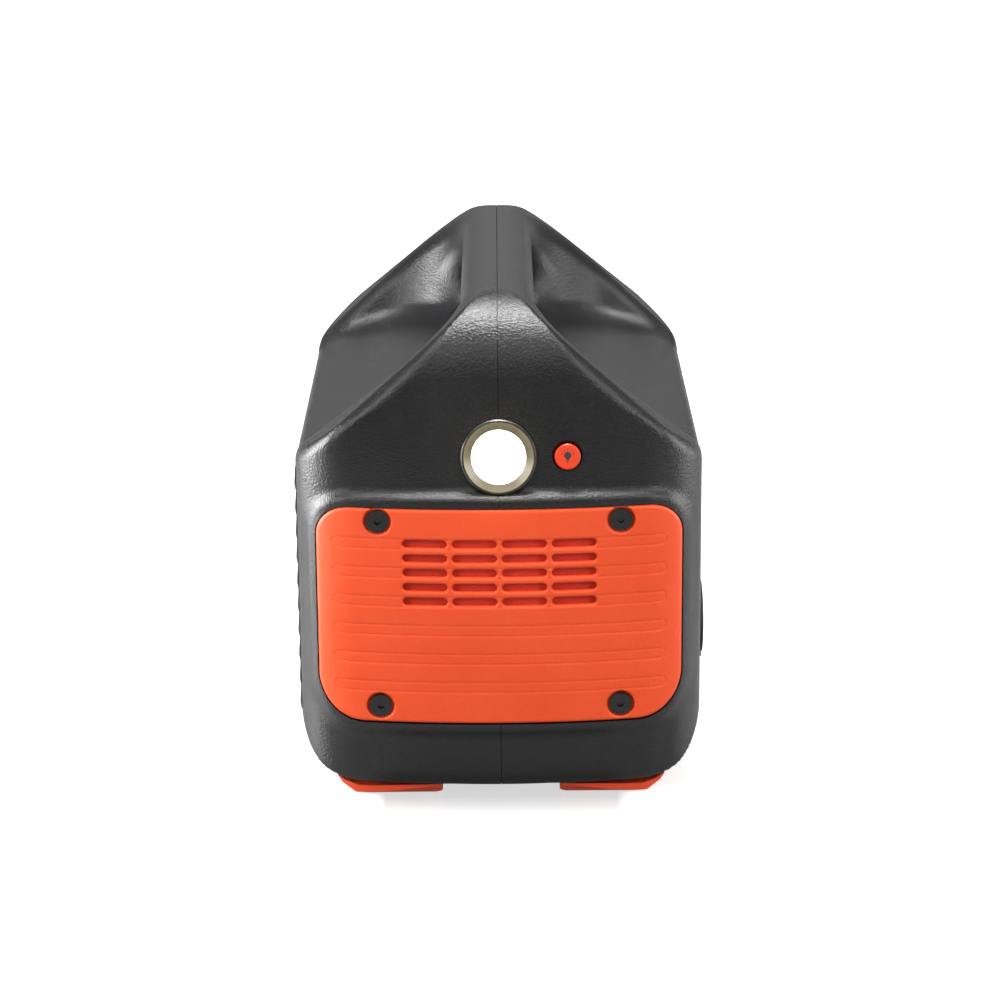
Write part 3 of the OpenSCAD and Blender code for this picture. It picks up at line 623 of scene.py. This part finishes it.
def grained(name, dark, light, rough, grain, depth, **sockets):
    """Moulded plastic: spark-eroded grain, faint mottling, and paler convex edges."""
    m, tree, shader = material(name, dark, rough, **sockets)
    where = node(tree, "ShaderNodeTexCoord").outputs["Object"]
    cells = node(tree, "ShaderNodeTexVoronoi", [(where, "Vector")], Scale=grain, feature="SMOOTH_F1",
                 Smoothness=0.55)
    fine = node(tree, "ShaderNodeTexNoise", [(where, "Vector")], Scale=grain * 1.7, Detail=3.0, Roughness=0.6)
    cloud = node(tree, "ShaderNodeTexNoise", [(where, "Vector")], Scale=22.0, Detail=4.0, Roughness=0.6)
    both = node(tree, "ShaderNodeMath", [(cells.outputs["Distance"], 0), (fine.outputs["Fac"], 1)],
                operation="ADD")
    bump = node(tree, "ShaderNodeBump", [(both.outputs[0], "Height")], Strength=0.85, Distance=depth)
    tree.links.new(bump.outputs[0], shader.inputs["Normal"])
    tone = ramp(tree, cloud.outputs["Fac"], [(0.3, dark), (0.75, light)])
    # Convex edges, found by pointiness, are given a paler colour.
    edge = node(tree, "ShaderNodeNewGeometry")
    convex_edges = ramp(tree, edge.outputs["Pointiness"], [(0.53, (0, 0, 0)), (0.62, (0.35, 0.35, 0.35))])
    pale = tuple(min(1.0, c * 2.2 + 0.012) for c in light)
    mix = node(tree, "ShaderNodeMix", [(convex_edges.outputs[0], 0), (tone.outputs[0], 6)], data_type="RGBA")
    mix.inputs[7].default_value = (*pale, 1)
    tree.links.new(mix.outputs[2], shader.inputs["Base Color"])
    spread = 0.05
    rough_map = map_range(tree, cloud.outputs["Fac"], (0.3, 0.7), (rough - spread, rough + spread))
    tree.links.new(rough_map.outputs[0], shader.inputs["Roughness"])
    return m


def brushed(name, base, rough, scale=(60, 60, 2600)):
    """Turned or brushed metal: fine drawn lines in tone, roughness and bump."""
    m, tree, shader = material(name, base, rough, 1.0)
    where = node(tree, "ShaderNodeTexCoord").outputs["Object"]
    mapping = node(tree, "ShaderNodeMapping", [(where, "Vector")])
    mapping.inputs["Scale"].default_value = scale
    noise = node(tree, "ShaderNodeTexNoise", [(mapping.outputs[0], "Vector")], Scale=1.0, Detail=3.0)
    tone = ramp(tree, noise.outputs["Fac"], [(0.3, tuple(c * 0.8 for c in base)), (0.7, base)])
    tree.links.new(tone.outputs[0], shader.inputs["Base Color"])
    smooth, coarse = rough * 0.7, min(1, rough * 1.3)
    lines_map = ramp(tree, noise.outputs["Fac"], [(0.2, (smooth,) * 3), (0.8, (coarse,) * 3)])
    tree.links.new(lines_map.outputs[0], shader.inputs["Roughness"])
    bump = node(tree, "ShaderNodeBump", [(noise.outputs["Fac"], "Height")], Strength=0.3, Distance=0.00003)
    tree.links.new(bump.outputs[0], shader.inputs["Normal"])
    return m


def board_material(name, a, b):
    """Lacquered board with fine copper tracks."""
    m, tree, shader = material(name, a, 0.35)
    where = node(tree, "ShaderNodeTexCoord").outputs["Object"]
    bricks = node(tree, "ShaderNodeTexVoronoi", [(where, "Vector")], Scale=260.0, distance="CHEBYCHEV")
    tone = ramp(tree, bricks.outputs["Distance"], [(0.35, a), (0.42, b), (0.47, a)])
    tree.links.new(tone.outputs[0], shader.inputs["Base Color"])
    bump = node(tree, "ShaderNodeBump", [(bricks.outputs["Distance"], "Height")], Strength=0.3,
                Distance=0.00005)
    tree.links.new(bump.outputs[0], shader.inputs["Normal"])
    return m


def display_glass():
    """Dark glass with faint smears."""
    m, tree, shader = material("display_glass", (0.006, 0.007, 0.009), 0.06, 0.0, Coat_Weight=0.6)
    where = node(tree, "ShaderNodeTexCoord").outputs["Object"]
    smear = node(tree, "ShaderNodeTexNoise", [(where, "Vector")], Scale=35.0, Detail=5.0)
    rough = ramp(tree, smear.outputs["Fac"], [(0.35, (0.05,) * 3), (0.75, (0.13,) * 3)])
    tree.links.new(rough.outputs[0], shader.inputs["Roughness"])
    return m


def lit_lens():
    """The torch lens, lit from behind through small facets."""
    m, tree, shader = material("torch_lit_lens", (1.0, 0.98, 0.9), 0.2)
    where = node(tree, "ShaderNodeTexCoord").outputs["Object"]
    facets = node(tree, "ShaderNodeTexVoronoi", [(where, "Vector")], Scale=420.0)
    glow = ramp(tree, facets.outputs["Distance"], [(0.0, (1.0, 0.985, 0.93)), (0.9, (1.0, 0.95, 0.80))])
    tree.links.new(glow.outputs[0], shader.inputs["Emission Color"])
    shader.inputs["Emission Strength"].default_value = 3.0
    return m


BLACK = grained("plastic_black", (0.0080, 0.0080, 0.0086), (0.0115, 0.0115, 0.0122), 0.23, 950.0, 0.00020,
                Specular_IOR_Level=0.45)
PANEL = grained("plastic_panel", (0.016, 0.016, 0.017), (0.022, 0.022, 0.023), 0.48, 1300.0, 0.00005)
ORANGE = grained("plastic_orange", (0.90, 0.085, 0.019), (0.96, 0.104, 0.028), 0.44, 1100.0, 0.00007,
                 Specular_IOR_Level=0.40)
DEEP = grained("plastic_deep_orange", (0.70, 0.045, 0.010), (0.78, 0.062, 0.014), 0.42, 1500.0, 0.00003)
SCREEN = grained("plastic_screen", (0.52, 0.024, 0.008), (0.62, 0.032, 0.010), 0.6, 1500.0, 0.00003)
RUBBER = grained("rubber_black", (0.012, 0.012, 0.012), (0.019, 0.019, 0.019), 0.62, 1600.0, 0.00004)
BLUE = grained("plastic_blue", (0.02, 0.06, 0.30), (0.03, 0.08, 0.38), 0.45, 1500.0, 0.00003)
RED_WIRE = grained("wire_red", (0.40, 0.012, 0.010), (0.50, 0.02, 0.014), 0.5, 1500.0, 0.00002)
CELLS = grained("cell_wrap", (0.03, 0.20, 0.15), (0.04, 0.26, 0.19), 0.35, 1500.0, 0.00001)
WOUND = brushed("wound_copper", (0.55, 0.25, 0.12), 0.45, (40, 40, 1400))
SCREW = brushed("steel_black", (0.055, 0.053, 0.052), 0.34, (900, 900, 900))
STEEL = brushed("steel_plated", (0.55, 0.55, 0.57), 0.32)
ALU = brushed("alu_extruded", (0.75, 0.75, 0.77), 0.35)
CHROME = brushed("bezel_bright", (0.11, 0.105, 0.095), 0.34, (300, 300, 300))
BRASS = brushed("brass_turned", (0.78, 0.55, 0.22), 0.3)
BOARD = board_material("board_green", (0.01, 0.09, 0.03), (0.03, 0.2, 0.06))
WHITE_BOARD = board_material("board_white", (0.75, 0.75, 0.7), (0.6, 0.6, 0.55))
FAN = grained("plastic_fan", (0.012, 0.012, 0.013), (0.02, 0.02, 0.021), 0.3, 1500.0, 0.00002)
DISPLAY = display_glass()
LENS = lit_lens()

by_slot = {"black": BLACK, "orange": ORANGE, "orange_dark": DEEP, "rubber": RUBBER, "screw_black": SCREW,
           "panel": PANEL, "clear": LENS, "display": DISPLAY, "chrome": CHROME, "steel": STEEL, "alu": ALU,
           "brass": BRASS, "board": BOARD, "white_board": WHITE_BOARD, "cells": CELLS, "blue": BLUE,
           "screen": SCREEN, "wound": WOUND, "red_wire": RED_WIRE, "fan": FAN}


def paint(obj, mat):
    """Gives the whole object one material."""
    if not obj.material_slots:
        obj.data.materials.append(mat)
    for s in obj.material_slots:
        s.material = mat


slot_of = {s["node"]: s["material_slot"] for s in frame["record"]["subparts"]}
soft_edges = {"corner_feet": 0.0007, "front_panel": 0.0004, "car_socket_cap": 0.0004,
              "jump_socket_cap": 0.0005, "charge_jack_cap": 0.0004, "ac_cover": 0.0004,
              "torch_button": 0.00025, "handle_grip": 0.0005,
              "car_button": 0.00025, "usb_button": 0.00025, "display_button": 0.00025,
              "ac_button": 0.00025, "left_cover_screws": 0.00035, "right_cover_screws": 0.00035,
              "display_window": 0.0003, "torch_bezel": 0.0002}
for name, obj in frame["nodes"].items():
    paint(obj, by_slot[slot_of[name]])
    if name in soft_edges:
        mod = obj.modifiers.new("edge", "BEVEL")
        mod.width, mod.segments = soft_edges[name], 3
        mod.limit_method, mod.angle_limit = "ANGLE", math.radians(34)
        mod.harden_normals = True
for obj in (front, rear, rib_piece):
    paint(obj, BLACK)
paint(left_cover, ORANGE)
paint(right_cover, ORANGE)


# ---------------------------------------------------------------- symbol on the torch button
def symbol():
    """A plain lamp symbol: a bulb and its rays, printed on the button."""
    place = hood_point(BUTTON_Y, TORCH_Z)
    shapes = []
    bulb = [(0.15 + 1.55 * math.cos(a), 1.55 * math.sin(a)) for a in np.linspace(-2.55, 2.55, 28)]
    bulb += [(-1.95, 0.62), (-1.95, -0.62)]
    shapes.append(bulb)
    shapes.append([(-2.2, -0.62), (-2.2, 0.62), (-2.55, 0.62), (-2.55, -0.62)])
    shapes.append([(-2.8, -0.42), (-2.8, 0.42), (-3.1, 0.42), (-3.1, -0.42)])
    ray = ((2.15, -0.17), (3.1, -0.17), (3.1, 0.17), (2.15, 0.17))
    for k in (-2, -1, 0, 1, 2):
        a = k * math.radians(38)
        c, s = math.cos(a), math.sin(a)
        shapes.append([(0.15 + c * r - s * w, s * r + c * w) for r, w in ray])
    up, size, below, above = 0.6, 1.05, 0.66, 0.735
    parts = [prism([(up + size * a, size * b) for a, b in pts], place, below, above) for pts in shapes]
    obj = cutter(parts, "button_symbol")
    paint(obj, RUBBER)
    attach(obj, "torch_button")


symbol()


# ---------------------------------------------------------------- floor and light
def light(name, at, aim, size, energy, size_y=None):
    """A soft white panel at one point, turned towards another."""
    data = bpy.data.lights.new(name, "AREA")
    data.shape = "RECTANGLE"
    data.size, data.size_y = size, size_y or size
    data.energy = energy
    obj = bpy.data.objects.new(name, data)
    scene.collection.objects.link(obj)
    turn = (Vector(aim) - Vector(at)).to_track_quat("-Z", "Y").to_matrix().to_4x4()
    obj.matrix_world = Matrix.Translation(at) @ turn


def floor_material():
    """White, with a soft shade close round the pack, and dim where the pack reflects it."""
    m, tree, shader = material("floor_white", (0.93, 0.93, 0.93), 0.25, Emission_Color=(1, 1, 1, 1))
    where = node(tree, "ShaderNodeTexCoord").outputs["Object"]
    mottle = node(tree, "ShaderNodeTexNoise", [(where, "Vector")], Scale=3.0, Detail=3.0)
    at = node(tree, "ShaderNodeSeparateXYZ", [(where, 0)])
    along = node(tree, "ShaderNodeMath", [(at.outputs[0], 0)], operation="ABSOLUTE")
    across = node(tree, "ShaderNodeMath", [(at.outputs[1], 0)], operation="ABSOLUTE")
    past = map_range(tree, across.outputs[0], (0.055, 0.105), (0.0, 0.3))
    away = node(tree, "ShaderNodeMath", [(along.outputs[0], 0), (past.outputs[0], 1)], operation="ADD")
    # Painted light: the floor glows by itself, brighter close round the pack than a little further off, and
    # fully bright far away.
    lift = ramp(tree, away.outputs[0], [(0.140, (0.64,) * 3), (0.190, (0.60,) * 3), (0.5, (0.05,) * 3),
                                        (1.0, (1.0,) * 3)])
    path = node(tree, "ShaderNodeLightPath")
    dim = map_range(tree, path.outputs["Is Glossy Ray"], (0.0, 1.0), (1.0, 0.3))
    glow = node(tree, "ShaderNodeMath", [(lift.outputs[0], 0), (dim.outputs[0], 1)], operation="MULTIPLY")
    tree.links.new(glow.outputs[0], shader.inputs["Emission Strength"])
    tone = ramp(tree, mottle.outputs["Fac"], [(0.3, (0.92,) * 3), (0.7, (0.94,) * 3)])
    # Painted shadow: the floor's colour goes dark close in front of and beside the pack, and pale further
    # off.
    near = ramp(tree, away.outputs[0], [(0.140, (0.05,) * 3), (0.190, (0.75,) * 3), (0.24, (1.0,) * 3)])
    both = times(tree, tone.outputs[0], near.outputs[0])
    shade = times(tree, both.outputs[2], dim.outputs[0])
    tree.links.new(shade.outputs[2], shader.inputs["Base Color"])
    return m


def times(tree, one, other):
    """Multiplies two colours."""
    n = node(tree, "ShaderNodeMix", [(one, 6), (other, 7)], data_type="RGBA", blend_type="MULTIPLY")
    n.inputs[0].default_value = 1.0
    return n


def floor_grid(half_size, cells):
    """A level square of cells x cells faces round the origin."""
    row = cells + 1
    places = [-half_size + 2 * half_size * i / cells for i in range(row)]
    verts = [(x, y, 0) for x in places for y in places]
    corners = [i * row + j for i in range(cells) for j in range(cells)]
    faces = [[c, c + row, c + row + 1, c + 1] for c in corners]
    mesh = bpy.data.meshes.new("floor")
    mesh.from_pydata(verts, [], faces)
    obj = bpy.data.objects.new("floor", mesh)
    scene.collection.objects.link(obj)
    return obj


floor = floor_grid(5.0, 24)
paint(floor, floor_material())
floor.visible_diffuse = False
floor.visible_glossy = True

world = bpy.data.worlds.new("studio")
scene.world = world
world.use_nodes = True
sky_tree = world.node_tree
backdrop = sky_tree.nodes["Background"]
backdrop.inputs[0].default_value = (1, 1, 1, 1)
# The backdrop looks white to the camera but gives only a weak light.
seen = node(sky_tree, "ShaderNodeLightPath")
level = map_range(sky_tree, seen.outputs["Is Camera Ray"], (0.0, 1.0), (0.22, 1.0))
sky_tree.links.new(level.outputs[0], backdrop.inputs[1])

light("top", (0.02, 0, 1.2), (0, 0, 0.1), 0.32, 15)
light("back", (1.5, 0, 0.85), (0, 0, 0.2), 1.4, 1.8, size_y=0.5)
light("left", (-1.1, 1.2, 0.9), (-0.05, 0, 0.12), 0.5, 14, size_y=1.0)
light("right", (-1.1, -1.2, 0.9), (-0.05, 0, 0.12), 0.5, 13, size_y=1.0)
light("left_panel", (0.0, 0.62, 0.21), (-0.10, 0, 0.15), 0.4, 8, size_y=0.36)
light("right_panel", (0.0, -0.62, 0.21), (-0.10, 0, 0.15), 0.4, 2, size_y=0.36)
sun_data = bpy.data.lights.new("sky", "SUN")
sun_data.energy, sun_data.angle = 1.75, math.radians(80)
sun = bpy.data.objects.new("sky", sun_data)
sun.rotation_euler = (0, math.radians(-14), 0)
scene.collection.objects.link(sun)

# A weak warm light just in front of the lens stands in for the torch's own glow.
spot = bpy.data.lights.new("torch_glow", "POINT")
spot.energy, spot.color, spot.shadow_soft_size = 0.013, (1.0, 0.82, 0.35), 0.010
glow_at = bpy.data.objects.new("torch_glow", spot)
glow_at.location = Vector(hood_point(0, TORCH_Z)(0, 0, 20)) * MM
scene.collection.objects.link(glow_at)

scene.view_settings.view_transform = "Standard"
